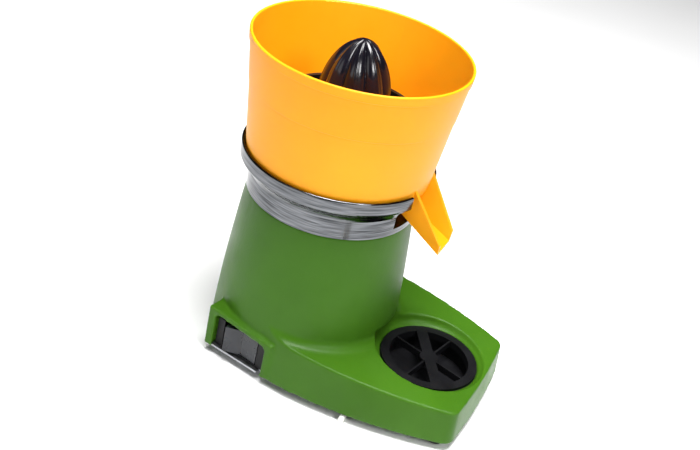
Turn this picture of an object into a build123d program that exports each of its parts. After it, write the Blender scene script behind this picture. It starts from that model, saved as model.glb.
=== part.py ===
from build123d import *
import os
from math import cos, radians, sin, tan

os.makedirs("parts", exist_ok=True)

# Citrus press juicer, in millimetres. +Z is up, the spout and the cup rest face -Y,
# the switch is on the -X side, and the origin is on the table under the middle of the box.

# ---------------------------------------------------------------- driving dimensions
overall_height = 317.5
column_y = 47.0
gap = 0.3
thin_gap = 0.1

foot_height = 8.0
casting_bottom = foot_height
wall = 5.0
base_draft = 5.0
front_y = -147.0
front_corner = (69.5, -144.0)
corner_radius = 13.0
draft_height = 67.0
widest = (98.5, 12.0)
outline_rear = (72.0, 92.0)
deck_front_height = 42.0
deck_slope = 0.068

column_top = 167.0
column_foot_radius = 91.0
column_mid_radius = 85.0
column_mid_height = 110.0
column_top_radius = 79.5
top_plate_thickness = 7.0
flare_radius = 11.0
flare_start_radius = 88.0

cup_y = -87.5
dish_top_radius = 54.5
dish_floor_height = 38.0
dish_floor_radius = 48.4
ledge_height = 34.5
well_radius = 44.0

ring_outer_radius = 90.8
ring_top = 211.0
band_radius = 80.2
band_inner_radius = 77.0
seat_radius = 86.8
seat_height = ring_top - 13.0

rim_radius = 100.0
lip_height = overall_height - 9.0
groove_height = overall_height - 46.0
bowl_wall = 2.6
bowl_foot_radius = 87.2
drum_radius = 74.0
drum_bottom = column_top + 20.0
tube_radius = 15.0
tube_bore = 12.5
tube_top = 236.0
tube_step_height = 213.7

spout_tip_y = -71.0
spout_tip_height = 158.0
spout_floor_slope = 28.0
spout_top_slope = 54.0
spout_wall = 2.4
notch_half_width = 27.8
notch_bottom = 173.0

shaft_radius = 6.0
hex_flats = 10.0
reamer_radius = 33.0
reamer_base = 261.0
reamer_apex = 323.5
reamer_lobes = 8
sieve_radius = 62.0
sieve_height = 256.0

motor_radius = 56.0
stator_radius = 52.0
stator_bore = 27.5
core_bottom = 89.0
core_top = 134.0
bolt_circle = 48.0

cord_radius = 3.0
coil_centre = (-184.0, -93.0)
coil_outer_turn = 44.0
coil_inner_turn = 25.4
coil_layer_height = 6.2

deck_axis_height = deck_front_height + deck_slope * (column_y - front_corner[1])
deck_point = (0, column_y, deck_axis_height)
deck_normal = (0, -deck_slope, 1)


def level(height):
    """Horizontal plane centred on the column's axis."""
    return Plane((0, column_y, height))


def upright(y=column_y):
    """Vertical plane facing the front: its x is the radius and its y is the height."""
    return Plane(origin=(0, y, 0), x_dir=(1, 0, 0), z_dir=(0, -1, 0))


def deck_plane(drop=0.0):
    """Plane of the sloping base top, lowered by drop."""
    return Plane(origin=(0, column_y, deck_axis_height - drop), x_dir=(1, 0, 0), z_dir=deck_normal)


column_axis = Axis((0, column_y, 0), (0, 0, 1))
cup_axis = Axis((0, cup_y, 0), (0, 0, 1))


# ---------------------------------------------------------------- base outline, shared
def base_outline(inset):
    """Plan of the base on the XY plane, drawn inset from its lowest edge."""
    corner_x, corner_y = front_corner[0] - inset, front_corner[1] + inset
    wide_x, wide_y = widest[0] - inset, widest[1]
    rear_x, rear_y = outline_rear[0] - inset, outline_rear[1] - inset
    with BuildSketch() as outline:
        with BuildLine():
            ThreePointArc((-corner_x, corner_y), (0, front_y + inset), (corner_x, corner_y))
            TangentArc((wide_x, wide_y), (corner_x, corner_y), tangent=(0, -1))
            TangentArc((wide_x, wide_y), (rear_x, rear_y), tangent=(0, 1))
            Line((rear_x, rear_y), (-rear_x, rear_y))
            TangentArc((-wide_x, wide_y), (-rear_x, rear_y), tangent=(0, 1))
            TangentArc((-wide_x, wide_y), (-corner_x, corner_y), tangent=(0, -1))
        make_face()
        fillet(outline.vertices().group_by(Axis.Y)[0], radius=corner_radius - inset)
    return outline.sketch


# ---------------------------------------------------------------- switch face, shared
switch_length = 76.0
switch_recess_depth = 8.0
switch_back = 12.0
switch_height = 27.0
switch_top_drop = 7.0
switch_face_angle = 9.0
switch_out = (-cos(radians(switch_face_angle)), sin(radians(switch_face_angle)), 0)
switch_along = (-sin(radians(switch_face_angle)), -cos(radians(switch_face_angle)), 0)
switch_plane = Plane(origin=(-91.5, 72.5, switch_height), x_dir=switch_along, z_dir=switch_out)
floor_in_switch = casting_bottom - switch_height
switch_tab_centre = (-78.5, 74.5)

# ---------------------------------------------------------------- bottom plate outline, shared
plate_bottom = casting_bottom + 0.2
plate_thickness = 2.0
plate_top = plate_bottom + plate_thickness
plate_side_gap = 0.4

boss_points = [(34, -135.5), (-34, -135.5), (81.5, -20), (-81.5, -20), (40, 118), (-40, 118)]
boss_tops = [39.5, 39.5, 46, 46, 46, 46]
foot_points = [(59, -127), (-59, -127), (49, 101), (-49, 101)]
gland_y = -45.0
gland_x = -56.0
gland_height = 4.2

# ---------------------------------------------------------------- body casting
with BuildPart() as deck_limit:
    with BuildSketch(deck_plane()):
        with Locations((0, -40)):
            Rectangle(300, 360)
    extrude(amount=-90)
    with BuildSketch(Plane(origin=deck_point, x_dir=(1, 0, 0), z_dir=(0, -1, -deck_slope))):
        with BuildLine():
            outer = flare_start_radius + flare_radius
            Polyline((0, flare_radius), (0, -4), (outer, -4), (outer, 0))
            RadiusArc((outer, 0), (flare_start_radius, flare_radius), flare_radius)
            Line((flare_start_radius, flare_radius), (0, flare_radius))
        make_face()
    revolve(axis=Axis(deck_point, deck_normal))

draft_inset = draft_height * tan(radians(base_draft))
with BuildPart() as base_block:
    with BuildSketch(Plane.XY.offset(casting_bottom)):
        add(base_outline(0))
    with BuildSketch(Plane.XY.offset(casting_bottom + draft_height)):
        add(base_outline(draft_inset))
    loft(ruled=True)
    add(deck_limit.part, mode=Mode.INTERSECT)

with BuildPart() as base_cavity:
    with BuildSketch(Plane.XY.offset(casting_bottom - 1)):
        add(base_outline(wall))
    with BuildSketch(Plane.XY.offset(casting_bottom + draft_height)):
        add(base_outline(wall + draft_inset))
    loft(ruled=True)
    with BuildSketch(deck_plane(wall)):
        with Locations((0, -40)):
            Rectangle(300, 360)
    extrude(amount=90, mode=Mode.SUBTRACT)

with BuildPart() as doghouse:
    with BuildSketch(switch_plane):
        with Locations((0, (casting_bottom + 70) / 2 - switch_height)):
            Rectangle(switch_length, 70 - casting_bottom)
    extrude(amount=-38)
    fillet(doghouse.edges().filter_by(Axis.Z).group_by(Axis.X)[0], radius=3)
    with BuildSketch(deck_plane(switch_top_drop)):
        with Locations((0, -40)):
            Rectangle(300, 360)
    extrude(amount=90, mode=Mode.SUBTRACT)

with BuildPart() as cup_collar:
    with BuildSketch(Plane.XY.offset(31)):
        with Locations((0, cup_y)):
            Circle(dish_top_radius + 4)
    extrude(amount=30)
    add(base_block.part, mode=Mode.INTERSECT)

with BuildPart() as body_casting:
    add(base_block.part)
    with BuildSketch(upright()):
        with BuildLine():
            Line((0, casting_bottom), (column_foot_radius, casting_bottom))
            ThreePointArc(
                (column_foot_radius, casting_bottom),
                (column_mid_radius, column_mid_height),
                (column_top_radius, column_top),
            )
            Polyline((column_top_radius, column_top), (0, column_top), (0, casting_bottom))
        make_face()
    revolve(axis=column_axis)
    add(doghouse.part)
    # hollow base and column
    add(base_cavity.part, mode=Mode.SUBTRACT)
    cavity_top = column_top - top_plate_thickness
    with BuildSketch(upright()):
        with BuildLine():
            Line((0, casting_bottom - 1), (column_foot_radius - wall, casting_bottom - 1))
            ThreePointArc(
                (column_foot_radius - wall, casting_bottom - 1),
                (column_mid_radius - wall, column_mid_height),
                (column_top_radius - wall, cavity_top),
            )
            Polyline((column_top_radius - wall, cavity_top), (0, cavity_top), (0, casting_bottom - 1))
        make_face()
    revolve(axis=column_axis, mode=Mode.SUBTRACT)
    # switch pocket, recess and panel hole
    with BuildSketch(switch_plane.offset(-switch_back)):
        with Locations((0, (floor_in_switch + 16.5) / 2 - 0.5)):
            Rectangle(switch_length - 9, 16.5 - floor_in_switch + 1)
    extrude(amount=-40, mode=Mode.SUBTRACT)
    with BuildSketch(switch_plane):
        with BuildLine():
            Polyline((-29.5, 19.5), (-29.5, floor_in_switch - 1), (30, floor_in_switch - 1), (30, 14.5), close=True)
        make_face()
        fillet(vertices().group_by(Axis.Z)[-2:], radius=5)
    extrude(amount=-switch_recess_depth, mode=Mode.SUBTRACT)
    with BuildSketch(switch_plane.offset(-switch_recess_depth + 1)):
        Rectangle(44.5, 30.5)
    extrude(amount=-8, mode=Mode.SUBTRACT)
    # cup rest: sloping dish, ledge and the collar that carries the drip cup
    add(cup_collar.part)
    with BuildSketch(upright(cup_y)):
        with BuildLine():
            Polyline((0, 60), (0, 30), (well_radius, 30), (well_radius, ledge_height))
            Polyline(
                (well_radius, ledge_height),
                (dish_floor_radius, ledge_height),
                (dish_floor_radius, dish_floor_height),
            )
            ThreePointArc(
                (dish_floor_radius, dish_floor_height),
                (52.2, 40.2),
                (dish_top_radius, 44.5),
            )
            Polyline((dish_top_radius, 44.5), (57.5, 60), (0, 60))
        make_face()
    revolve(axis=cup_axis, mode=Mode.SUBTRACT)
    # screw bosses for the bottom plate
    for (x, y), top in zip(boss_points, boss_tops):
        with BuildSketch(Plane.XY.offset(plate_top)):
            with Locations((x, y)):
                Circle(5)
        extrude(amount=top - plate_top)
        with BuildSketch(Plane.XY.offset(plate_top)):
            with Locations((x, y)):
                Circle(1.9)
        extrude(amount=14, mode=Mode.SUBTRACT)
    # seal boss on top, shaft hole, and holes for the ring and motor screws
    with BuildSketch(level(column_top)):
        Circle(11.5)
    extrude(amount=17)
    with Locations(level(column_top + 17)):
        CounterBoreHole(radius=8, counter_bore_radius=9.5, counter_bore_depth=5, depth=30)
    with Locations(level(column_top)):
        with PolarLocations(72, 4, start_angle=45):
            Hole(radius=1.9, depth=6)
        with PolarLocations(50, 4, start_angle=0):
            Hole(radius=2.3, depth=8)
    # room for the bottom plate
    with BuildSketch(Plane.XY):
        with Locations(Location(switch_tab_centre, -switch_face_angle)):
            Rectangle(22.6, 58.6)
    extrude(amount=plate_top + 0.2, mode=Mode.SUBTRACT)
body_casting.part.label = "body_casting"
export_step(body_casting.part, "parts/body_casting.step")

# ---------------------------------------------------------------- bottom plate and feet
with BuildPart() as bottom_plate:
    with BuildSketch(Plane.XY.offset(plate_bottom)):
        add(base_outline(wall + plate_side_gap))
        with Locations((0, column_y)):
            Circle(column_foot_radius - wall - plate_side_gap)
        with Locations(Location(switch_tab_centre, -switch_face_angle)):
            Rectangle(22, 58)
        with Locations(*boss_points, *foot_points):
            Circle(2.2, mode=Mode.SUBTRACT)
        with Locations((gland_x, gland_y)):
            Circle(5.0, mode=Mode.SUBTRACT)
        # cooling slots under the fan
        with Locations((0, column_y)):
            for ring_radius, count in ((20, 6), (34, 10), (48, 14)):
                with PolarLocations(ring_radius, count):
                    SlotOverall(10, 3.4, mode=Mode.SUBTRACT)
    extrude(amount=plate_thickness)
bottom_plate.part.label = "bottom_plate"
export_step(bottom_plate.part, "parts/bottom_plate.step")

with BuildPart() as plate_screws:
    for x, y in boss_points:
        with BuildSketch(Plane.XY.offset(plate_bottom - 2.4)):
            with Locations((x, y)):
                Circle(3.6)
                RegularPolygon(1.5, 6, mode=Mode.SUBTRACT)
        extrude(amount=2.4)
        with BuildSketch(Plane.XY.offset(plate_bottom - 1)):
            with Locations((x, y)):
                Circle(1.8)
        extrude(amount=13)
plate_screws.part.label = "plate_screws"
export_step(plate_screws.part, "parts/plate_screws.step")

with BuildPart() as rubber_feet:
    for x, y in foot_points:
        with BuildSketch(upright(y)):
            with BuildLine():
                Polyline((x + 2.1, plate_bottom), (x + 7.8, plate_bottom), (x + 7.8, 7.8), (x + 9.5, 7.3))
                ThreePointArc((x + 9.5, 7.3), (x + 9.1, 3), (x + 7.5, 0))
                Polyline((x + 7.5, 0), (x + 4.4, 0), (x + 4.4, 3.4), (x + 2.1, 3.4), (x + 2.1, plate_bottom))
            make_face()
        revolve(axis=Axis((x, y, 0), (0, 0, 1)))
rubber_feet.part.label = "rubber_feet"
export_step(rubber_feet.part, "parts/rubber_feet.step")

with BuildPart() as foot_screws:
    for x, y in foot_points:
        with BuildSketch(Plane.XY.offset(0.9)):
            with Locations((x, y)):
                Circle(4.1)
                RegularPolygon(1.7, 6, mode=Mode.SUBTRACT)
        extrude(amount=2.5)
        with BuildSketch(Plane.XY.offset(2.6)):
            with Locations((x, y)):
                Circle(2.0)
        extrude(amount=12)
foot_screws.part.label = "foot_screws"
export_step(foot_screws.part, "parts/foot_screws.step")

with BuildPart() as foot_nuts:
    for x, y in foot_points:
        with BuildSketch(Plane.XY.offset(plate_top)):
            with Locations((x, y)):
                RegularPolygon(3.9, 6)
                Circle(2.05, mode=Mode.SUBTRACT)
        extrude(amount=3.2)
foot_nuts.part.label = "foot_nuts"
export_step(foot_nuts.part, "parts/foot_nuts.step")

# ---------------------------------------------------------------- bowl ring on the column
ring_floor = column_top + 3
ring_neck = ring_top - 25.5
with BuildPart() as bowl_ring:
    with BuildSketch(upright()):
        with BuildLine():
            Polyline((66, column_top), (band_radius, column_top), (band_radius, ring_neck))
            ThreePointArc((band_radius, ring_neck), (83.2, ring_neck + 6.6), (88.8, ring_neck + 11.4))
            ThreePointArc(
                (88.8, ring_neck + 11.4),
                (90.2, ring_neck + 12.4),
                (ring_outer_radius, ring_neck + 14),
            )
            Line((ring_outer_radius, ring_neck + 14), (ring_outer_radius, ring_top - 1.4))
            ThreePointArc((ring_outer_radius, ring_top - 1.4), (89.4, ring_top), (88.0, ring_top - 1.4))
            Polyline(
                (88.0, ring_top - 1.4),
                (88.0, ring_top - 10),
                (seat_radius, seat_height),
                (band_inner_radius, ring_neck + 4),
                (band_inner_radius, ring_floor),
                (66, ring_floor),
                (66, column_top),
            )
        make_face()
    revolve(axis=column_axis)
    with BuildSketch(upright(column_y - 60)):
        with Locations((0, (notch_bottom + ring_top + 6) / 2)):
            Rectangle(2 * notch_half_width, ring_top + 6 - notch_bottom)
    extrude(amount=40, mode=Mode.SUBTRACT)
    with Locations(level(ring_floor)):
        with PolarLocations(72, 4, start_angle=45):
            Hole(radius=2.1, depth=6)
bowl_ring.part.label = "bowl_ring"
export_step(bowl_ring.part, "parts/bowl_ring.step")

with BuildPart() as ring_screws:
    for angle in (45, 135, 225, 315):
        x = 72 * cos(radians(angle))
        y = column_y + 72 * sin(radians(angle))
        with BuildSketch(Plane.XY.offset(ring_floor)):
            with Locations((x, y)):
                Circle(3.4)
                RegularPolygon(1.5, 6, mode=Mode.SUBTRACT)
        extrude(amount=2.2)
        with BuildSketch(Plane.XY.offset(ring_floor + 1)):
            with Locations((x, y)):
                Circle(1.85)
        extrude(amount=-9)
ring_screws.part.label = "ring_screws"
export_step(ring_screws.part, "parts/ring_screws.step")

# ---------------------------------------------------------------- motor, fixed parts
shield_top = core_top + 20
shield_bottom = core_bottom - 19
with BuildPart() as motor_upper_shield:
    with BuildSketch(upright()):
        with BuildLine():
            Polyline(
                (6.6, cavity_top),
                (20, cavity_top),
                (20, shield_top),
                (motor_radius, shield_top),
                (motor_radius, core_top - 6),
                (stator_radius + 0.2, core_top - 6),
                (stator_radius + 0.2, core_top),
                (50, core_top),
                (50, shield_top - 4),
                (17, shield_top - 4),
                (17, shield_top - 8),
                (14, shield_top - 8),
                (14, shield_top),
                (6.6, shield_top),
                close=True,
            )
        make_face()
    revolve(axis=column_axis)
    with BuildSketch(level(shield_top)):
        with PolarLocations(50, 4):
            Circle(5.5)
    extrude(amount=cavity_top - shield_top)
    with Locations(level(cavity_top)):
        with PolarLocations(50, 4):
            Hole(radius=1.9, depth=9)
    with Locations(level(shield_top)):
        with PolarLocations(bolt_circle, 4, start_angle=45):
            Hole(radius=2.1, depth=30)
motor_upper_shield.part.label = "motor_upper_shield"
export_step(motor_upper_shield.part, "parts/motor_upper_shield.step")

with BuildPart() as motor_lower_shield:
    with BuildSketch(upright()):
        with BuildLine():
            Polyline(
                (6.6, shield_bottom - 7),
                (17, shield_bottom - 7),
                (17, shield_bottom),
                (motor_radius, shield_bottom),
                (motor_radius, core_bottom + 6),
                (stator_radius + 0.2, core_bottom + 6),
                (stator_radius + 0.2, core_bottom),
                (50, core_bottom),
                (50, shield_bottom + 4),
                (17, shield_bottom + 4),
                (17, shield_bottom + 7),
                (14, shield_bottom + 7),
                (14, shield_bottom - 2),
                (6.6, shield_bottom - 2),
                close=True,
            )
        make_face()
    revolve(axis=column_axis)
    with BuildSketch(level(shield_bottom)):
        with PolarLocations(33, 8):
            Circle(8)
    extrude(amount=4, mode=Mode.SUBTRACT)
    with Locations(level(core_bottom)):
        with PolarLocations(bolt_circle, 4, start_angle=45):
            Hole(radius=2.1, depth=30)
motor_lower_shield.part.label = "motor_lower_shield"
export_step(motor_lower_shield.part, "parts/motor_lower_shield.step")

with BuildPart() as stator_core:
    with BuildSketch(level(core_bottom)):
        Circle(stator_radius)
        Circle(stator_bore, mode=Mode.SUBTRACT)
        with PolarLocations(34, 12, start_angle=15):
            SlotOverall(11, 5)
    extrude(amount=core_top - core_bottom)
    with Locations(level(core_top)):
        with PolarLocations(bolt_circle, 4, start_angle=45):
            Hole(radius=2.2, depth=60)
stator_core.part.label = "stator_core"
export_step(stator_core.part, "parts/stator_core.step")

with BuildPart() as stator_windings:
    for low, high in ((core_bottom - 12, core_bottom), (core_top, core_top + 12)):
        with BuildSketch(upright()):
            with Locations((36.5, (low + high) / 2)):
                RectangleRounded(15, high - low, 3.5)
        revolve(axis=column_axis)
stator_windings.part.label = "stator_windings"
export_step(stator_windings.part, "parts/stator_windings.step")

with BuildPart() as motor_bolts:
    for angle in (45, 135, 225, 315):
        x = bolt_circle * cos(radians(angle))
        y = column_y + bolt_circle * sin(radians(angle))
        with BuildSketch(Plane.XY.offset(shield_bottom - 3)):
            with Locations((x, y)):
                RegularPolygon(3.9, 6)
        extrude(amount=3)
        with BuildSketch(Plane.XY.offset(shield_bottom - 1)):
            with Locations((x, y)):
                Circle(2.0)
        extrude(amount=shield_top - shield_bottom + 4)
        with BuildSketch(Plane.XY.offset(shield_top)):
            with Locations((x, y)):
                RegularPolygon(3.9, 6)
        extrude(amount=3)
motor_bolts.part.label = "motor_bolts"
export_step(motor_bolts.part, "parts/motor_bolts.step")

with BuildPart() as motor_mount_screws:
    for angle in (0, 90, 180, 270):
        x = 50 * cos(radians(angle))
        y = column_y + 50 * sin(radians(angle))
        with BuildSketch(Plane.XY.offset(column_top)):
            with Locations((x, y)):
                Circle(3.8)
                RegularPolygon(1.7, 6, mode=Mode.SUBTRACT)
        extrude(amount=2.6)
        with BuildSketch(Plane.XY.offset(column_top + 1)):
            with Locations((x, y)):
                Circle(1.85)
        extrude(amount=-15)
motor_mount_screws.part.label = "motor_mount_screws"
export_step(motor_mount_screws.part, "parts/motor_mount_screws.step")

for bearing_name, bearing_bottom in (("upper_bearing", shield_top - 8), ("lower_bearing", shield_bottom - 2)):
    with BuildPart() as bearing:
        with BuildSketch(level(bearing_bottom)):
            Circle(14)
            Circle(10.4, mode=Mode.SUBTRACT)
        extrude(amount=8)
        with BuildSketch(level(bearing_bottom)):
            Circle(8.6)
            Circle(shaft_radius + 0.03, mode=Mode.SUBTRACT)
        extrude(amount=8)
        with BuildSketch(level(bearing_bottom + 3)):
            Circle(10.4)
            Circle(8.6, mode=Mode.SUBTRACT)
        extrude(amount=2)
    bearing.part.label = bearing_name
    export_step(bearing.part, f"parts/{bearing_name}.step")

seal_bottom = column_top + 12
with BuildPart() as shaft_seal:
    with BuildSketch(upright()):
        with BuildLine():
            Polyline(
                (shaft_radius + 0.05, seal_bottom + 3.4),
                (shaft_radius + 1.2, seal_bottom),
                (9.5, seal_bottom),
                (9.5, seal_bottom + 5),
                (7.6, seal_bottom + 5),
                (7.6, seal_bottom + 2),
                (shaft_radius + 0.05, seal_bottom + 5),
                close=True,
            )
        make_face()
    revolve(axis=column_axis)
shaft_seal.part.label = "shaft_seal"
export_step(shaft_seal.part, "parts/shaft_seal.step")

# ---------------------------------------------------------------- rotor
hex_corner = hex_flats / 2 / cos(radians(30))
fan_bottom = core_bottom - 43
hub_bottom = tube_top + 3
with BuildPart() as motor_shaft:
    with BuildSketch(level(fan_bottom - 4)):
        Circle(shaft_radius)
    extrude(amount=hub_bottom - 3 - fan_bottom + 4)
    with BuildSketch(level(hub_bottom - 3)):
        RegularPolygon(hex_corner, 6)
    extrude(amount=22)
    chamfer(motor_shaft.edges().group_by(Axis.Z)[-1], length=1)
motor_shaft.part.label = "motor_shaft"
export_step(motor_shaft.part, "parts/motor_shaft.step")

with BuildPart() as rotor_core:
    with BuildSketch(level(core_bottom)):
        Circle(stator_bore - 0.5)
        Circle(shaft_radius, mode=Mode.SUBTRACT)
    extrude(amount=core_top - core_bottom)
    for start, height in ((core_bottom, -5), (core_top, 5)):
        with BuildSketch(level(start)):
            Circle(25)
            Circle(15, mode=Mode.SUBTRACT)
        extrude(amount=height)
rotor_core.part.label = "rotor_core"
export_step(rotor_core.part, "parts/rotor_core.step")

fan_blades = 9
with BuildPart() as cooling_fan:
    with BuildSketch(level(fan_bottom)):
        Circle(11)
        Circle(shaft_radius, mode=Mode.SUBTRACT)
    extrude(amount=13)
    with BuildSketch(level(fan_bottom + 11)):
        Circle(46)
        Circle(10, mode=Mode.SUBTRACT)
    extrude(amount=2)
    with BuildSketch(level(fan_bottom)):
        with PolarLocations(26.5, fan_blades):
            Rectangle(35, 1.8)
    extrude(amount=11.5)
cooling_fan.part.label = "cooling_fan"
export_step(cooling_fan.part, "parts/cooling_fan.step")

with BuildPart() as slinger:
    with BuildSketch(level(column_top + 18)):
        Circle(10.5)
        Circle(shaft_radius, mode=Mode.SUBTRACT)
    extrude(amount=2)
    with BuildSketch(level(column_top + 18)):
        Circle(8)
        Circle(shaft_radius, mode=Mode.SUBTRACT)
    extrude(amount=5)
slinger.part.label = "slinger"
export_step(slinger.part, "parts/slinger.step")

# ---------------------------------------------------------------- switch
switch_floor = switch_plane.offset(-switch_recess_depth)
rocker_half = 17.4
rocker_height = 28.0
rocker_tilt = 12.0
rocker_pivot_depth = -5.5


def in_switch(depth):
    """Plane parallel to the switch face, depth outwards from the recess floor."""
    return switch_plane.offset(-switch_recess_depth + depth)


with BuildPart() as switch_housing:
    with BuildSketch(in_switch(thin_gap)):
        with Locations((0.2, -1)):
            RectangleRounded(57, 29.8, 2)
    extrude(amount=2.6)
    with BuildSketch(in_switch(thin_gap)):
        RectangleRounded(44, 30.2, 1)
    extrude(amount=-25)
    with BuildSketch(in_switch(3)):
        Rectangle(41, rocker_height + 0.6)
    extrude(amount=-26, mode=Mode.SUBTRACT)
    with Locations(Location(in_switch(rocker_pivot_depth).location.position, (0, 0, 0))):
        Cylinder(radius=1.2, height=30.6, mode=Mode.SUBTRACT)
switch_housing.part.label = "switch_housing"
export_step(switch_housing.part, "parts/switch_housing.step")

pivot_point = in_switch(rocker_pivot_depth).location.position
rocker_plane = Plane(origin=pivot_point, x_dir=switch_along, z_dir=(0, 0, 1)).rotated((0, 0, rocker_tilt))
with BuildPart() as switch_rocker:
    with BuildSketch(rocker_plane.offset(-rocker_height / 2)):
        with BuildLine():
            Line((0, -7.4), (-rocker_half, -12))
            Line((-rocker_half, -12), (-rocker_half, 0.5))
            Polyline((-rocker_half, 0.5), (-13, 5), (13, 5), (rocker_half, 0.5), (rocker_half, -12))
            Line((rocker_half, -12), (0, -7.4))
        make_face()
        Circle(1.3, mode=Mode.SUBTRACT)
    extrude(amount=rocker_height)
switch_rocker.part.label = "switch_rocker"
export_step(switch_rocker.part, "parts/switch_rocker.step")

with BuildPart() as rocker_pin:
    with BuildSketch(Plane(pivot_point).offset(-15)):
        Circle(1.18)
    extrude(amount=30)
rocker_pin.part.label = "rocker_pin"
export_step(rocker_pin.part, "parts/rocker_pin.step")

with BuildPart() as switch_terminals:
    with BuildSketch(in_switch(-25 + thin_gap)):
        with GridLocations(16, 14, 2, 2):
            Rectangle(0.8, 6.3)
    extrude(amount=-8)
switch_terminals.part.label = "switch_terminals"
export_step(switch_terminals.part, "parts/switch_terminals.step")

# ---------------------------------------------------------------- cup rest
cup_lift_gap = 0.4
with BuildPart() as drip_cup:
    with BuildSketch(upright(cup_y)):
        with BuildLine():
            Polyline(
                (0, 15),
                (42.0, 15),
                (well_radius - cup_lift_gap, 17),
                (well_radius - cup_lift_gap, ledge_height + gap),
                (dish_floor_radius - cup_lift_gap, ledge_height + gap),
                (dish_floor_radius - cup_lift_gap, ledge_height + 2),
                (41.6, ledge_height + 2),
                (41.6, 17),
                (0, 17),
                close=True,
            )
        make_face()
    revolve(axis=cup_axis)
drip_cup.part.label = "drip_cup"
export_step(drip_cup.part, "parts/drip_cup.step")

grid_bottom = ledge_height + 2 + gap
grid_thickness = 2.4
grid_bar_angle = 32.0
with BuildPart() as cup_grid:
    with BuildSketch(Plane((0, cup_y, grid_bottom))):
        Circle(47.4)
        Circle(39, mode=Mode.SUBTRACT)
        Circle(9)
        with Locations(Rotation(0, 0, grid_bar_angle)):
            Rectangle(80, 11)
    extrude(amount=grid_thickness)
    with BuildSketch(Plane((0, cup_y, grid_bottom + grid_thickness - 0.6))):
        with Locations(Rotation(0, 0, grid_bar_angle + 44), Rotation(0, 0, grid_bar_angle - 44)):
            Rectangle(81, 1.8)
    extrude(amount=-7)
    with BuildSketch(Plane((0, cup_y, grid_bottom))):
        Circle(41)
        Circle(39, mode=Mode.SUBTRACT)
    extrude(amount=-5)
cup_grid.part.label = "cup_grid"
export_step(cup_grid.part, "parts/cup_grid.step")

# ---------------------------------------------------------------- juice bowl with spout
def spout_section(y, floor_shift, side_shift, raise_top=0.0):
    """Corners of the trough's section at y: half widths and heights of its floor and its top."""
    run = y - spout_tip_y
    floor = spout_tip_height + run * tan(radians(spout_floor_slope)) + floor_shift
    top = spout_tip_height + 11 + run * tan(radians(spout_top_slope)) + raise_top
    floor_half = 15.2 - 0.09 * run + side_shift
    top_half = 18.6 + 0.15 * run + side_shift
    return [(-floor_half, floor), (floor_half, floor), (top_half, top), (-top_half, top)]


spout_rear_y = -12.0
with BuildPart() as spout:
    for y in (spout_tip_y, spout_rear_y):
        with BuildSketch(upright(y)):
            Polygon(*spout_section(y, 0, 0), align=None)
    loft(ruled=True)
    for y in (spout_tip_y - 1, spout_rear_y + 1):
        with BuildSketch(upright(y)):
            Polygon(*spout_section(y, spout_wall, -spout_wall, raise_top=6), align=None)
    loft(ruled=True, mode=Mode.SUBTRACT)
    # leave the space inside the bowl free, out to the middle of its wall
    with BuildSketch(upright()):
        with BuildLine():
            Polyline(
                (0, drum_bottom + 1.5),
                (drum_radius - 1.3, drum_bottom + 1.5),
                (drum_radius - 1.3, ring_top - 16.5),
                (bowl_foot_radius - 2.2, ring_top - 8),
                (bowl_foot_radius - 1.3, ring_top),
                (rim_radius - 1.3, overall_height),
                (0, overall_height),
                close=True,
            )
        make_face()
    revolve(axis=column_axis, mode=Mode.SUBTRACT)

with BuildPart() as juice_bowl:
    with BuildSketch(upright()):
        with BuildLine():
            groove_radius = bowl_foot_radius + (groove_height - ring_top) * 0.105
            lip_radius = bowl_foot_radius + (lip_height - ring_top) * 0.116
            Polyline(
                (tube_bore, tube_top),
                (tube_bore, drum_bottom),
                (drum_radius, drum_bottom),
                (drum_radius, ring_top - 20),
                (bowl_foot_radius - 1.2, ring_top - 8),
                (bowl_foot_radius, ring_top),
                (groove_radius, groove_height),
                (groove_radius + 0.6, groove_height + 0.5),
                (lip_radius, lip_height),
                (lip_radius + 0.9, lip_height + 0.6),
                (rim_radius, overall_height - 1.4),
            )
            ThreePointArc(
                (rim_radius, overall_height - 1.4),
                (rim_radius - 1.4, overall_height),
                (rim_radius - 2.8, overall_height - 1.4),
            )
            Polyline(
                (rim_radius - 2.8, overall_height - 1.4),
                (bowl_foot_radius - bowl_wall, ring_top),
                (bowl_foot_radius - 1.2 - bowl_wall, ring_top - 6.6),
                (drum_radius - bowl_wall, ring_top - 18),
                (drum_radius - bowl_wall, drum_bottom + bowl_wall),
                (tube_radius + 2.3, drum_bottom + bowl_wall),
                (tube_radius + 2.3, tube_step_height),
                (tube_radius, tube_step_height),
                (tube_radius, tube_top),
                (tube_bore, tube_top),
            )
        make_face()
    revolve(axis=column_axis)
    add(spout.part)
    # outlet from the bowl into the trough
    for y in (spout_tip_y + 22, spout_rear_y + 14):
        low_left, low_right, _, _ = spout_section(y, spout_wall, -spout_wall)
        with BuildSketch(upright(y)):
            Polygon(
                low_left,
                low_right,
                (low_right[0] + 3, low_right[1] + 17),
                (low_left[0] - 3, low_left[1] + 17),
                align=None,
            )
    loft(ruled=True, mode=Mode.SUBTRACT)
juice_bowl.part.label = "juice_bowl"
export_step(juice_bowl.part, "parts/juice_bowl.step")

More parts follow.
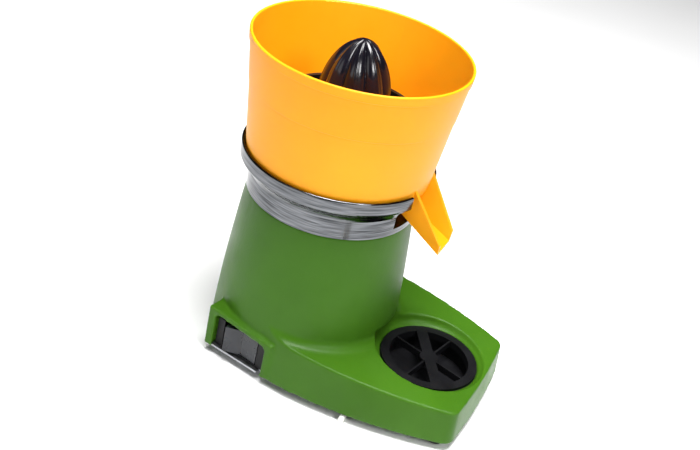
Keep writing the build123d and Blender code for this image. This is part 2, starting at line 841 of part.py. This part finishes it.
# ---------------------------------------------------------------- sieve, drive hub and reamer
sieve_hub_inner = tube_radius + gap
sieve_hub_outer = tube_radius + 2.5
sieve_hub_bottom = tube_step_height + gap
with BuildPart() as sieve:
    with BuildSketch(upright()):
        with BuildLine():
            Polyline(
                (sieve_hub_inner, tube_top),
                (sieve_hub_inner, sieve_hub_bottom),
                (sieve_hub_outer, sieve_hub_bottom),
                (sieve_hub_outer, tube_top - 11),
                (24, tube_top - 6),
                (50, tube_top - 0.5),
                (sieve_radius - 2, tube_top),
                (sieve_radius, tube_top + 2),
                (sieve_radius, sieve_height),
                (sieve_radius + 2, sieve_height + 1),
                (sieve_radius + 2, sieve_height + 3),
                (sieve_radius - 2, sieve_height + 3),
                (sieve_radius - 2, tube_top + 4),
                (50, tube_top + 1.6),
                (24, tube_top - 3.6),
                (sieve_hub_outer, tube_top - 7.5),
                (sieve_hub_outer, tube_top),
                close=True,
            )
        make_face()
    revolve(axis=column_axis)
    # strainer slots through the sloping floor, in three rings
    for ring_radius, count, slot_length in ((30, 16, 9.4), (42, 26, 9.4), (55, 36, 7.4)):
        with BuildSketch(level(tube_top - 12)):
            with PolarLocations(ring_radius, count):
                SlotOverall(slot_length, 2.2)
        extrude(amount=16, mode=Mode.SUBTRACT)
sieve.part.label = "sieve"
export_step(sieve.part, "parts/sieve.step")

hub_hex_corner = 11.8
hub_top = reamer_base + 20
with BuildPart() as drive_hub:
    with BuildSketch(level(hub_bottom)):
        Circle(9.5)
    extrude(amount=reamer_base - hub_bottom)
    with BuildSketch(level(hub_bottom + 2)):
        Circle(21)
    extrude(amount=2)
    with BuildSketch(level(reamer_base - 1)):
        RegularPolygon(hub_hex_corner, 6)
    extrude(amount=hub_top - reamer_base + 1)
    with BuildSketch(level(hub_bottom)):
        RegularPolygon(hex_corner + thin_gap, 6)
    extrude(amount=20, mode=Mode.SUBTRACT)
drive_hub.part.label = "drive_hub"
export_step(drive_hub.part, "parts/drive_hub.step")

groove_top = reamer_apex - 2.8
with BuildPart() as reamer:
    with BuildSketch(upright()):
        with BuildLine():
            Line((0, reamer_base), (reamer_radius, reamer_base))
            Spline(
                (reamer_radius, reamer_base),
                (31.2, reamer_base + 18.5),
                (24.5, reamer_base + 38.5),
                (12.5, reamer_base + 55),
                (0, reamer_apex),
                tangents=((0, 1), (-1, 0.12)),
            )
            Line((0, reamer_apex), (0, reamer_base))
        make_face()
    revolve(axis=column_axis)
    # grooves between the lobes
    for lobe in range(reamer_lobes):
        angle = 360 / reamer_lobes * (lobe + 0.5)
        groove_dir = (cos(radians(angle)), sin(radians(angle)), 0)
        groove_side = (sin(radians(angle)), -cos(radians(angle)), 0)
        with BuildSketch(Plane(origin=(0, column_y, 0), x_dir=groove_dir, z_dir=groove_side)):
            with BuildLine():
                Spline(
                    (reamer_radius - 3.5, reamer_base + 3),
                    (27.8, reamer_base + 18.5),
                    (21.2, reamer_base + 36.5),
                    (4, groove_top),
                )
                Polyline(
                    (4, groove_top),
                    (reamer_radius + 2, groove_top),
                    (reamer_radius + 2, reamer_base + 3),
                    (reamer_radius - 3.5, reamer_base + 3),
                )
            make_face()
        extrude(amount=0.8, both=True, mode=Mode.SUBTRACT)
    with BuildSketch(level(reamer_base)):
        RegularPolygon(hub_hex_corner + gap + 0.1, 6)
    extrude(amount=hub_top - reamer_base + gap, mode=Mode.SUBTRACT)
reamer.part.label = "reamer"
export_step(reamer.part, "parts/reamer.step")

# ---------------------------------------------------------------- electrical parts in the base
capacitor_x = 53.0
capacitor_z = 26.0
with BuildPart() as run_capacitor:
    with BuildSketch(Plane(origin=(capacitor_x, -40, capacitor_z), x_dir=(1, 0, 0), z_dir=(0, 1, 0))):
        Circle(14)
    extrude(amount=52)
    fillet(run_capacitor.edges().filter_by(GeomType.CIRCLE), radius=1.5)
    with BuildSketch(Plane(origin=(capacitor_x, 12, capacitor_z), x_dir=(1, 0, 0), z_dir=(0, 1, 0))):
        with GridLocations(10, 0, 2, 1):
            Rectangle(0.8, 6.3)
    extrude(amount=9)
run_capacitor.part.label = "run_capacitor"
export_step(run_capacitor.part, "parts/run_capacitor.step")

with BuildPart() as capacitor_clip:
    with BuildSketch(Plane(origin=(capacitor_x, -20, 0), x_dir=(1, 0, 0), z_dir=(0, 1, 0))):
        with Locations((0, -capacitor_z)):
            Circle(15.2)
        with Locations((0, -plate_top - 0.6)):
            Rectangle(40, 1.2)
        with Locations((0, -capacitor_z)):
            Circle(14, mode=Mode.SUBTRACT)
    extrude(amount=10)
capacitor_clip.part.label = "capacitor_clip"
export_step(capacitor_clip.part, "parts/capacitor_clip.step")

block_centre = (-30, -18)
with BuildPart() as terminal_block:
    with BuildSketch(Plane.XY.offset(plate_top)):
        with Locations(block_centre):
            Rectangle(18, 32)
    extrude(amount=13)
    with BuildSketch(Plane.XY.offset(plate_top + 13)):
        with Locations(block_centre):
            with GridLocations(9, 10, 2, 3):
                Circle(2.2)
    extrude(amount=-4, mode=Mode.SUBTRACT)
terminal_block.part.label = "terminal_block"
export_step(terminal_block.part, "parts/terminal_block.step")

with BuildPart() as internal_leads:
    for row in (-1, 0, 1):
        start = (gland_x - 2.6 * row, gland_y, plate_bottom + 9)
        end = (block_centre[0] - 9, block_centre[1] + 10 * row, plate_top + 7)
        with BuildLine() as lead_path:
            FilletPolyline(
                start,
                (start[0], start[1], 24 + 3 * row),
                (end[0] - 9, end[1], 24 + 3 * row),
                (end[0] - 9, end[1], end[2]),
                end,
                radius=3,
            )
        with BuildSketch(Plane(origin=start, z_dir=(0, 0, 1))):
            Circle(1.1)
        sweep()
internal_leads.part.label = "internal_leads"
export_step(internal_leads.part, "parts/internal_leads.step")

# ---------------------------------------------------------------- cord, gland, coil and plug
sleeve_end = -86.0
with BuildPart() as cord_gland:
    with BuildSketch(Plane.XY.offset(0.9)):
        with Locations((gland_x, gland_y)):
            RectangleRounded(17, 14, 3)
    extrude(amount=plate_bottom - 0.9)
    with BuildSketch(Plane.XY.offset(plate_bottom)):
        with Locations((gland_x, gland_y)):
            Circle(4.9)
    extrude(amount=9)
    with BuildSketch(Plane(origin=(0, gland_y, 0), x_dir=(1, 0, 0), z_dir=(0, -1, 0))):
        Polygon(
            (gland_x - 6, gland_height),
            (gland_x - 6, gland_height + 3.8),
            (gland_x - 8.5, gland_height + 3.8),
            (sleeve_end, gland_height + cord_radius + 0.3),
            (sleeve_end, gland_height),
            align=None,
        )
    revolve(axis=Axis((0, gland_y, gland_height), (1, 0, 0)))
cord_gland.part.label = "cord_gland"
export_step(cord_gland.part, "parts/cord_gland.step")

with BuildPart() as gland_nut:
    with BuildSketch(Plane.XY.offset(plate_top)):
        with Locations((gland_x, gland_y)):
            RegularPolygon(8.5, 6)
            Circle(4.95, mode=Mode.SUBTRACT)
    extrude(amount=4)
gland_nut.part.label = "gland_nut"
export_step(gland_nut.part, "parts/gland_nut.step")

coil_x, coil_y = coil_centre
entry_x = coil_x + 26
exit_y = coil_y - 26
coil_top_layer = cord_radius + coil_layer_height
cord_route = [
    (sleeve_end, gland_y, gland_height),
    (-96, gland_y, gland_height),
    (-110, -49.6, cord_radius),
    (-127, -52.6, cord_radius),
    (-146, coil_y + coil_outer_turn, cord_radius),
    (entry_x, coil_y + coil_outer_turn, cord_radius),
]
tail_route = [
    (coil_x - coil_outer_turn, exit_y, coil_top_layer),
    (-228, -129, coil_top_layer),
    (-227.6, -141, 13),
    (-227, -153, 18.4),
    (-227, -163, 18.4),
]


def bend_radii(route):
    """Largest arc radius that the two runs at each inner point of the route leave room for."""
    points = [Vector(*point) for point in route]
    radii = []
    for before, corner, after in zip(points, points[1:], points[2:]):
        turn = (corner - before).get_angle(after - corner)
        shorter = min((corner - before).length, (after - corner).length)
        radii.append(0.45 * shorter / tan(radians(turn / 2)))
    return radii


def cord_along(route):
    """Round tube along straight runs joined by tangent arcs."""
    direction = Vector(*route[1]) - Vector(*route[0])
    with BuildPart() as tube:
        with BuildLine():
            FilletPolyline(*route, radius=bend_radii(route))
        with BuildSketch(Plane(origin=route[0], z_dir=direction)):
            Circle(cord_radius)
        sweep()
    return tube.part


for route_name, route in (("power_cord", cord_route), ("cord_tail", tail_route)):
    print(route_name, "bend radii", [round(radius, 1) for radius in bend_radii(route)])

with BuildPart() as power_cord:
    add(cord_along(cord_route))
power_cord.part.label = "power_cord"
export_step(power_cord.part, "parts/power_cord.step")

with BuildPart() as cord_tail:
    add(cord_along(tail_route))
cord_tail.part.label = "cord_tail"
export_step(cord_tail.part, "parts/cord_tail.step")

with BuildPart() as cord_coil:
    with BuildSketch(Plane.XY):
        with Locations(coil_centre):
            Circle(coil_outer_turn + cord_radius)
            Circle(coil_inner_turn - cord_radius, mode=Mode.SUBTRACT)
    extrude(amount=coil_top_layer + cord_radius)
    with BuildSketch(Plane(origin=(entry_x, coil_y + coil_outer_turn, cord_radius), z_dir=(-1, 0, 0))):
        Circle(cord_radius)
    extrude(amount=entry_x - coil_x)
    with BuildSketch(Plane(origin=(coil_x - coil_outer_turn, exit_y, coil_top_layer), z_dir=(0, 1, 0))):
        Circle(cord_radius)
    extrude(amount=coil_y - exit_y)
cord_coil.part.label = "cord_coil"
export_step(cord_coil.part, "parts/cord_coil.step")

plug_x, plug_y, plug_z = tail_route[-1]
plug_radius = 18.4
with BuildPart() as plug_body:
    with BuildSketch(Plane(origin=(plug_x, plug_y, plug_z), x_dir=(1, 0, 0), z_dir=(0, 0, 1))):
        with BuildLine():
            Polyline((0, 0), (cord_radius + 0.4, 0), (5.6, -19), (9, -20))
            ThreePointArc((9, -20), (14.5, -24), (plug_radius, -33))
            Polyline((plug_radius, -33), (plug_radius, -52), (0, -52), (0, 0))
        make_face()
    revolve(axis=Axis((plug_x, plug_y, plug_z), (0, 1, 0)))
plug_body.part.label = "plug_body"
export_step(plug_body.part, "parts/plug_body.step")

with BuildPart() as plug_pins:
    with BuildSketch(Plane(origin=(plug_x, plug_y - 52, plug_z), x_dir=(1, 0, 0), z_dir=(0, -1, 0))):
        with GridLocations(19, 0, 2, 1):
            Circle(2.4)
    extrude(amount=19)
    fillet(plug_pins.edges().filter_by(GeomType.CIRCLE).group_by(Axis.Y)[0], radius=1.5)
plug_pins.part.label = "plug_pins"
export_step(plug_pins.part, "parts/plug_pins.step")
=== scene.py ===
import bpy, math
import numpy as np
from mathutils import Matrix, Vector


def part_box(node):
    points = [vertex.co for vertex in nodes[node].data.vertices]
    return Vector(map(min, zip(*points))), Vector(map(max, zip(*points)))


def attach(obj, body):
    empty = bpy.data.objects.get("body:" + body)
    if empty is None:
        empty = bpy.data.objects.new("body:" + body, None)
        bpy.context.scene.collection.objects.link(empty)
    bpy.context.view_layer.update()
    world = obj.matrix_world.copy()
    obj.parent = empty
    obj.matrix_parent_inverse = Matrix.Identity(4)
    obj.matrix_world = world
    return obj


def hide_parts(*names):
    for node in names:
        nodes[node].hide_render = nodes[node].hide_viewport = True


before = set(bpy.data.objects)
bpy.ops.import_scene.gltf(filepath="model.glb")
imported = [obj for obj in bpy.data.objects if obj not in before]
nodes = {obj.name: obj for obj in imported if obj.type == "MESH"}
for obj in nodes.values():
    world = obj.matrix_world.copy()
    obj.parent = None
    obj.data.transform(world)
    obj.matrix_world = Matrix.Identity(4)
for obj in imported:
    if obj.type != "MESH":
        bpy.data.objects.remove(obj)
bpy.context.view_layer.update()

foot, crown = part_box("reamer")
column_y = (foot.y + crown.y) / 2


# ---------------------------------------------------------------- camera
aim_height = 0.19
sensor_mm, lens_mm = 36, 56.5966
nearest_seen = 0.01


def aim_camera(azimuth, elevation, roll, distance, slide_x, slide_y):
    """Camera on a sphere about the column (degrees), rolled, then slid in its picture plane (metres)."""
    a, e, r = (math.radians(v) for v in (azimuth, elevation, roll))
    back = Vector((math.sin(a) * math.cos(e), -math.cos(a) * math.cos(e), math.sin(e)))
    side = (-back).cross(Vector((0, 0, 1))).normalized()
    up = side.cross(-back)
    right = math.cos(r) * side + math.sin(r) * up
    over = -math.sin(r) * side + math.cos(r) * up
    place = Vector((0, column_y, aim_height)) + back * distance - right * slide_x - over * slide_y
    data = bpy.data.cameras.new("camera")
    data.sensor_width = sensor_mm
    data.lens = lens_mm
    data.clip_start = nearest_seen
    camera = bpy.data.objects.new("camera", data)
    bpy.context.scene.collection.objects.link(camera)
    axes = Matrix((right, over, back)).transposed().to_4x4()
    camera.matrix_world = Matrix.Translation(place) @ axes
    bpy.context.scene.camera = camera


aim_camera(azimuth=-71.82, elevation=31.0, roll=13.53, distance=1.01817, slide_x=-0.01297, slide_y=0.0500)


# ---------------------------------------------------------------- materials
noise_low, noise_high = 0.3, 0.7        # span that noise values mostly keep to
highlight_start, highlight_full = 0.53, 0.6       # pointiness where the painted edge highlight begins and is complete
# share of the painted edge highlight colour mixed in at the sharpest edges
highlight_share = 0.6
rough_to_broad = 2.3                    # roughness noise is this much finer than the colour's
bump_distance = 0.0004


def srgb(r, g, b):
    """Linear colour from 0-255 sRGB."""
    out = []
    for v in (r, g, b):
        v = v / 255
        out.append(v / 12.92 if v <= 0.04045 else ((v + 0.055) / 1.055) ** 2.4)
    return (*out, 1.0)


def finish_of(name, low, high, rough, scale, bump, bump_scale=900.0, stretch=(1, 1, 1), edge_highlight=None, **sockets):
    """Principled material: colour mottled between low and high, roughness and bump from noise."""
    mat = bpy.data.materials.new(name)
    mat.use_nodes = True
    tree = mat.node_tree
    links = tree.links.new
    shader = tree.nodes["Principled BSDF"]
    for socket, value in sockets.items():
        shader.inputs[socket.replace("_", " ")].default_value = value
    coords = tree.nodes.new("ShaderNodeTexCoord")
    mapping = tree.nodes.new("ShaderNodeMapping")
    mapping.inputs["Scale"].default_value = stretch
    links(coords.outputs["Object"], mapping.inputs["Vector"])

    def noise(at, detail=4.0):
        node = tree.nodes.new("ShaderNodeTexNoise")
        node.inputs["Scale"].default_value = at
        node.inputs["Detail"].default_value = detail
        links(mapping.outputs["Vector"], node.inputs["Vector"])
        return node.outputs["Fac"]

    def ramp(source, start, end, a, b):
        node = tree.nodes.new("ShaderNodeMapRange")
        node.inputs["From Min"].default_value = start
        node.inputs["From Max"].default_value = end
        node.inputs["To Min"].default_value = a
        node.inputs["To Max"].default_value = b
        links(source, node.inputs["Value"])
        return node.outputs["Result"]

    def mix(factor, a, b):
        node = tree.nodes.new("ShaderNodeMix")
        node.data_type = "RGBA"
        links(factor, node.inputs["Factor"])
        for socket, value in (("A", a), ("B", b)):
            socket = [s for s in node.inputs if s.name == socket and s.type == "RGBA"][0]
            if isinstance(value, tuple):
                socket.default_value = value
            else:
                links(value, socket)
        return [s for s in node.outputs if s.type == "RGBA"][0]

    colour = mix(ramp(noise(scale), noise_low, noise_high, 0, 1), low, high)
    # Sharp convex edges are lightened toward the edge colour: a painted highlight.
    if edge_highlight:
        geometry = tree.nodes.new("ShaderNodeNewGeometry")
        colour = mix(ramp(geometry.outputs["Pointiness"], highlight_start, highlight_full, 0, highlight_share), colour, edge_highlight)
    links(colour, shader.inputs["Base Color"])
    links(ramp(noise(scale * rough_to_broad), noise_low, noise_high, *rough), shader.inputs["Roughness"])
    if bump:
        node = tree.nodes.new("ShaderNodeBump")
        node.inputs["Strength"].default_value = bump
        node.inputs["Distance"].default_value = bump_distance
        links(noise(bump_scale, 3.0), node.inputs["Height"])
        links(node.outputs["Normal"], shader.inputs["Normal"])
    return mat


# The green's lighter edge colour is a painted highlight on the casting's edges and fillets.
green = finish_of("green_enamel", srgb(55, 98, 15), srgb(62, 107, 21), (0.34, 0.46), 14, 0.35, 650,
                  edge_highlight=srgb(104, 156, 66), Specular_IOR_Level=0.16)
orange = finish_of("orange_shell", srgb(255, 164, 14), srgb(255, 172, 24), (0.36, 0.44), 9, 0.06, 500,
                   Subsurface_Weight=0.1, Subsurface_Scale=0.004, Subsurface_Radius=(1.0, 0.4, 0.1),
                   Specular_IOR_Level=0.22)
polished = finish_of("polished_metal", srgb(52, 54, 56), srgb(122, 124, 128), (0.05, 0.12), 30, 0.12, 90,
                     stretch=(1, 1, 22), Metallic=1.0)
steel = finish_of("zinc_steel", srgb(150, 152, 156), srgb(178, 180, 183), (0.3, 0.45), 90, 0.15, 700,
                  Metallic=1.0)
ground = finish_of("ground_steel", srgb(175, 176, 180), srgb(195, 196, 199), (0.18, 0.3), 60, 0.15, 260,
                   stretch=(1, 1, 9), Metallic=1.0)
lamination = finish_of("lamination", srgb(84, 86, 92), srgb(112, 114, 120), (0.4, 0.5), 50, 0.5, 300,
                       stretch=(1, 1, 14), Metallic=0.8)
cast = finish_of("cast_metal", srgb(150, 152, 156), srgb(178, 180, 184), (0.45, 0.6), 60, 0.5, 500,
                 Metallic=0.9)
winding = finish_of("winding_wire", srgb(150, 72, 26), srgb(190, 98, 40), (0.25, 0.4), 120, 0.6, 380,
                    stretch=(1, 1, 3), Metallic=0.7)
black = finish_of("black_moulding", srgb(12, 12, 14), srgb(19, 19, 22), (0.36, 0.5), 30, 0.3, 900,
                  Specular_IOR_Level=0.22)
# Glossy black with a blue tint in its colour: the tint is a painted blue sheen.
gloss_black_blue_sheen = finish_of("reamer_black", srgb(10, 9, 15), srgb(20, 18, 28), (0.16, 0.28), 40, 0.12, 420,
                        Coat_Weight=0.35, Coat_Roughness=0.1, Specular_IOR_Level=0.4)
# The rocker's own dark plastic, lifted to blue-grey as a painted sheen on its face.
rocker_dark_and_sheen = finish_of("rocker_dark_and_sheen", srgb(26, 28, 34), srgb(40, 43, 50), (0.24, 0.36), 60, 0.15, 700)
rubber = finish_of("black_rubber", srgb(20, 20, 20), srgb(32, 32, 32), (0.7, 0.85), 70, 0.5, 900)
grey = finish_of("grey_moulding", srgb(104, 106, 110), srgb(122, 124, 128), (0.4, 0.55), 40, 0.3, 700)
white = finish_of("white_moulding", srgb(222, 220, 212), srgb(236, 234, 228), (0.35, 0.45), 40, 0.15, 700)
sheath = finish_of("white_sheath", srgb(222, 221, 217), srgb(236, 235, 231), (0.4, 0.5), 60, 0.2, 600)
brass = finish_of("brass", srgb(190, 150, 80), srgb(212, 172, 98), (0.22, 0.35), 80, 0.1, 500, Metallic=1.0)

wears = {
    "bottom_plate": steel, "plate_screws": steel, "rubber_feet": rubber, "foot_screws": steel,
    "foot_nuts": steel, "bowl_ring": polished, "ring_screws": steel, "motor_upper_shield": cast,
    "motor_lower_shield": cast, "stator_core": lamination, "stator_windings": winding, "motor_bolts": steel,
    "motor_mount_screws": steel, "upper_bearing": ground, "lower_bearing": ground, "shaft_seal": rubber,
    "motor_shaft": ground, "rotor_core": lamination, "cooling_fan": grey, "slinger": rubber,
    "switch_housing": black, "switch_rocker": rocker_dark_and_sheen, "rocker_pin": ground, "switch_terminals": brass,
    "drip_cup": black, "cup_grid": black, "juice_bowl": orange, "sieve": black, "drive_hub": black,
    "run_capacitor": grey, "capacitor_clip": steel, "terminal_block": white, "internal_leads": sheath,
    "cord_gland": black, "gland_nut": black, "plug_body": white, "plug_pins": brass, "body_casting": green,
    "reamer": gloss_black_blue_sheen, "power_cord": sheath, "cord_tail": sheath, "cord_coil": sheath,
}
for name, mat in wears.items():
    nodes[name].data.materials.clear()
    nodes[name].data.materials.append(mat)


# ---------------------------------------------------------------- power lead
coil_x, coil_y = -0.184, -0.093
outer_turn, inner_turn = 0.044, 0.0254
cord_radius, layer_height = 0.003, 0.0062
exit_x, exit_y, exit_z = -0.086, -0.045, 0.0042
plug_x, plug_z = -0.227, 0.0184
top_z = cord_radius + layer_height
coil_start_y, coil_end_x = coil_y + outer_turn, coil_x - outer_turn

route = [
    (exit_x, exit_y, exit_z), (-0.096, exit_y, exit_z), (-0.110, -0.0496, cord_radius),
    (-0.127, -0.0526, cord_radius), (-0.146, coil_start_y, cord_radius),
    (-0.158, coil_start_y, cord_radius), (-0.172, coil_start_y, cord_radius),
]
# Three turns spiral in on the table, a quarter turn climbs, and three turns spiral out on top.
layer_turns, climb_turns = 3, 0.25
per_turn = 24
start_angle = 90
pull_out = 1 / math.cos(math.pi / per_turn) ** 1.5      # a smooth curve cuts inside its control points
for i in range(int((2 * layer_turns + climb_turns) * per_turn) + 1):
    turned = i / per_turn
    angle = math.radians(start_angle + 360 * turned)
    if turned <= layer_turns + climb_turns:
        inward = min(turned / layer_turns, 1.0)
    else:
        inward = 1 - (turned - layer_turns - climb_turns) / layer_turns
    radius = (outer_turn + (inner_turn - outer_turn) * inward) * pull_out
    climbed = min(max((turned - layer_turns) / climb_turns, 0), 1)
    rise = climbed * climbed * (3 - 2 * climbed)
    route.append((coil_x + radius * math.cos(angle), coil_y + radius * math.sin(angle),
                  cord_radius + layer_height * rise))
route += [
    (coil_end_x, -0.108, top_z), (coil_end_x, -0.129, top_z), (-0.2276, -0.141, 0.013),
    (plug_x, -0.153, plug_z), (plug_x, -0.163, plug_z),
]
curve = bpy.data.curves.new("power_lead", "CURVE")
curve.dimensions = "3D"
spline = curve.splines.new("NURBS")
spline.points.add(len(route) - 1)
for point, place in zip(spline.points, route):
    point.co = (*place, 1)
spline.order_u = 3
spline.use_endpoint_u = True
spline.resolution_u = 6
curve.bevel_depth = cord_radius
curve.bevel_resolution = 5
curve.use_fill_caps = True
curve.materials.append(sheath)
lead = bpy.data.objects.new("power_lead", curve)
bpy.context.scene.collection.objects.link(lead)
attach(lead, "base")
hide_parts("power_cord", "cord_coil", "cord_tail")


# ---------------------------------------------------------------- rounded casting
def softened(node, name, voxel, rounds):
    """New piece from a CAD node's shape, its hard edges eased all round."""
    piece = bpy.data.objects.new(name, nodes[node].data.copy())
    bpy.context.scene.collection.objects.link(piece)
    remesh = piece.modifiers.new("remesh", "REMESH")
    remesh.mode = "VOXEL"
    remesh.voxel_size = voxel
    smooth = piece.modifiers.new("smooth", "SMOOTH")
    smooth.factor = 0.5
    smooth.iterations = rounds
    mesh = bpy.data.meshes.new_from_object(piece.evaluated_get(bpy.context.evaluated_depsgraph_get()))
    piece.modifiers.clear()
    piece.data = mesh
    for polygon in mesh.polygons:
        polygon.use_smooth = True
    return piece


shell = softened("body_casting", "base_shell", voxel=0.0012, rounds=10)
shell.data.materials.clear()
shell.data.materials.append(green)
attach(shell, "base")
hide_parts("body_casting")


# ---------------------------------------------------------------- lobed reamer
def lathe(rows, name, mat, body):
    """Closed mesh from rings of points; a ring of one point closes an end."""
    verts, faces, starts = [], [], []
    for ring in rows:
        starts.append(len(verts))
        verts += ring
    for lower, upper, start, after in zip(rows, rows[1:], starts, starts[1:]):
        count = max(len(lower), len(upper))
        for i in range(count):
            j = (i + 1) % count
            if len(lower) == 1:
                faces.append((start, after + j, after + i))
            elif len(upper) == 1:
                faces.append((start + i, start + j, after))
            else:
                faces.append((start + i, start + j, after + j, after + i))
    mesh = bpy.data.meshes.new(name)
    mesh.from_pydata(verts, [], faces)
    mesh.validate()
    mesh.materials.append(mat)
    piece = bpy.data.objects.new(name, mesh)
    bpy.context.scene.collection.objects.link(piece)
    for polygon in mesh.polygons:
        polygon.use_smooth = True
    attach(piece, body)
    return piece


base_z, top_height = foot.z, crown.z - foot.z
base_r = (crown.x - foot.x) / 2
lobes, around = 8, 384
dome_rings = 90
dome_fullness, dome_bluntness = 2.35, 0.62
lobe_twist = 0.22                                   # radians from foot to point
groove_depth, groove_gain, groove_sharpness = 0.0042, 0.0016, 0.55
ridge_height, ridge_narrowness = 0.0006, 26
foot_fade, point_fade = 0.06, 0.12                  # height shares over which the lobes die out
smallest_radius = 0.0002
socket_radius, socket_mouth, socket_depth, mouth_depth = 0.0121, 0.0127, 0.0203, 0.0006
rim_inset, rim_ease, rim_height = 0.0011, 0.0003, 0.0004
first_ring, ring_span, ring_crowding = 0.012, 0.985, 0.9


def dome_radius(t):
    """Share of the base radius at height share t, full at the foot and closing to a blunt point."""
    return max(1 - t ** dome_fullness, 0) ** dome_bluntness


def dome_ring(t):
    """Lobed ring at height share t."""
    ring = []
    reach = base_r * dome_radius(t)
    fade = min(1.0, (1 - t) / point_fade) * min(1.0, t / foot_fade)
    for i in range(around):
        angle = 2 * math.pi * i / around
        crest = abs(math.sin(lobes / 2 * (angle + lobe_twist * t)))
        cut = (1 - crest ** groove_sharpness) * (groove_depth + groove_gain * t) * fade
        ridge = ridge_height * max(0, 1 - abs(crest - 1) * ridge_narrowness) * fade
        radius = max(reach - cut + ridge - ridge_height, smallest_radius)
        ring.append((radius * math.cos(angle), column_y + radius * math.sin(angle), base_z + top_height * t))
    return ring


def plain_ring(radius, z):
    """Round ring about the column."""
    ring = []
    for i in range(around):
        angle = 2 * math.pi * i / around
        ring.append((radius * math.cos(angle), column_y + radius * math.sin(angle), z))
    return ring


rows = [
    [(0, column_y, base_z + socket_depth)], plain_ring(socket_radius, base_z + socket_depth),
    plain_ring(socket_radius, base_z + mouth_depth), plain_ring(socket_mouth, base_z),
    plain_ring(base_r - rim_inset, base_z), plain_ring(base_r - rim_ease, base_z + rim_height),
]
rows += [dome_ring(first_ring + ring_span * t ** ring_crowding) for t in np.linspace(0, 1, dome_rings)]
rows.append([(0, column_y, base_z + top_height)])
cone = lathe(rows, "reamer_lobed", gloss_black_blue_sheen, "cone")
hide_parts("reamer")


# ---------------------------------------------------------------- floor and light
floor_half, floor_z = 6, -0.0002
floor_mesh = bpy.data.meshes.new("floor")
floor_corners = [(x * floor_half, y * floor_half, floor_z) for x, y in ((-1, -1), (1, -1), (1, 1), (-1, 1))]
floor_mesh.from_pydata(floor_corners, [], [(0, 1, 2, 3)])
floor = bpy.data.objects.new("floor", floor_mesh)
bpy.context.scene.collection.objects.link(floor)
floor.data.materials.append(
    finish_of("pale_floor", srgb(248, 248, 248), srgb(252, 252, 252), (0.75, 0.85), 3, 0.0))


def area_light(name, place, target, size, power):
    """Round white light at place, facing target; metres and watts."""
    data = bpy.data.lights.new(name, "AREA")
    data.shape = "DISK"
    data.size = size
    data.energy = power
    light = bpy.data.objects.new(name, data)
    light.location = place
    light.rotation_euler = (Vector(target) - Vector(place)).to_track_quat("-Z", "Y").to_euler()
    bpy.context.scene.collection.objects.link(light)


area_light("over", (-0.15, -0.1, 1.9), (0, 0, 0.1), size=1.1, power=72)
area_light("key", (-0.9, -1.5, 1.5), (0, 0, 0.18), size=0.6, power=18)
area_light("fill", (-2.0, 0.9, 0.9), (0, 0, 0.15), size=1.6, power=8)

# The sky brightens from the horizon up to sky_top, the height share where it is fullest.
sky_dim, sky_bright, sky_top = 0.26, 1.1, 0.8
world = bpy.data.worlds.new("world")
bpy.context.scene.world = world
world.use_nodes = True
sky = world.node_tree
sky_coords = sky.nodes.new("ShaderNodeTexCoord")
sky_split = sky.nodes.new("ShaderNodeSeparateXYZ")
sky_ramp = sky.nodes.new("ShaderNodeMapRange")
for socket, value in (("From Min", 0.0), ("From Max", sky_top), ("To Min", sky_dim), ("To Max", sky_bright)):
    sky_ramp.inputs[socket].default_value = value
sky.links.new(sky_coords.outputs["Generated"], sky_split.inputs["Vector"])
sky.links.new(sky_split.outputs["Z"], sky_ramp.inputs["Value"])
sky.links.new(sky_ramp.outputs["Result"], sky.nodes["Background"].inputs["Strength"])
bpy.context.scene.view_settings.view_transform = "Standard"
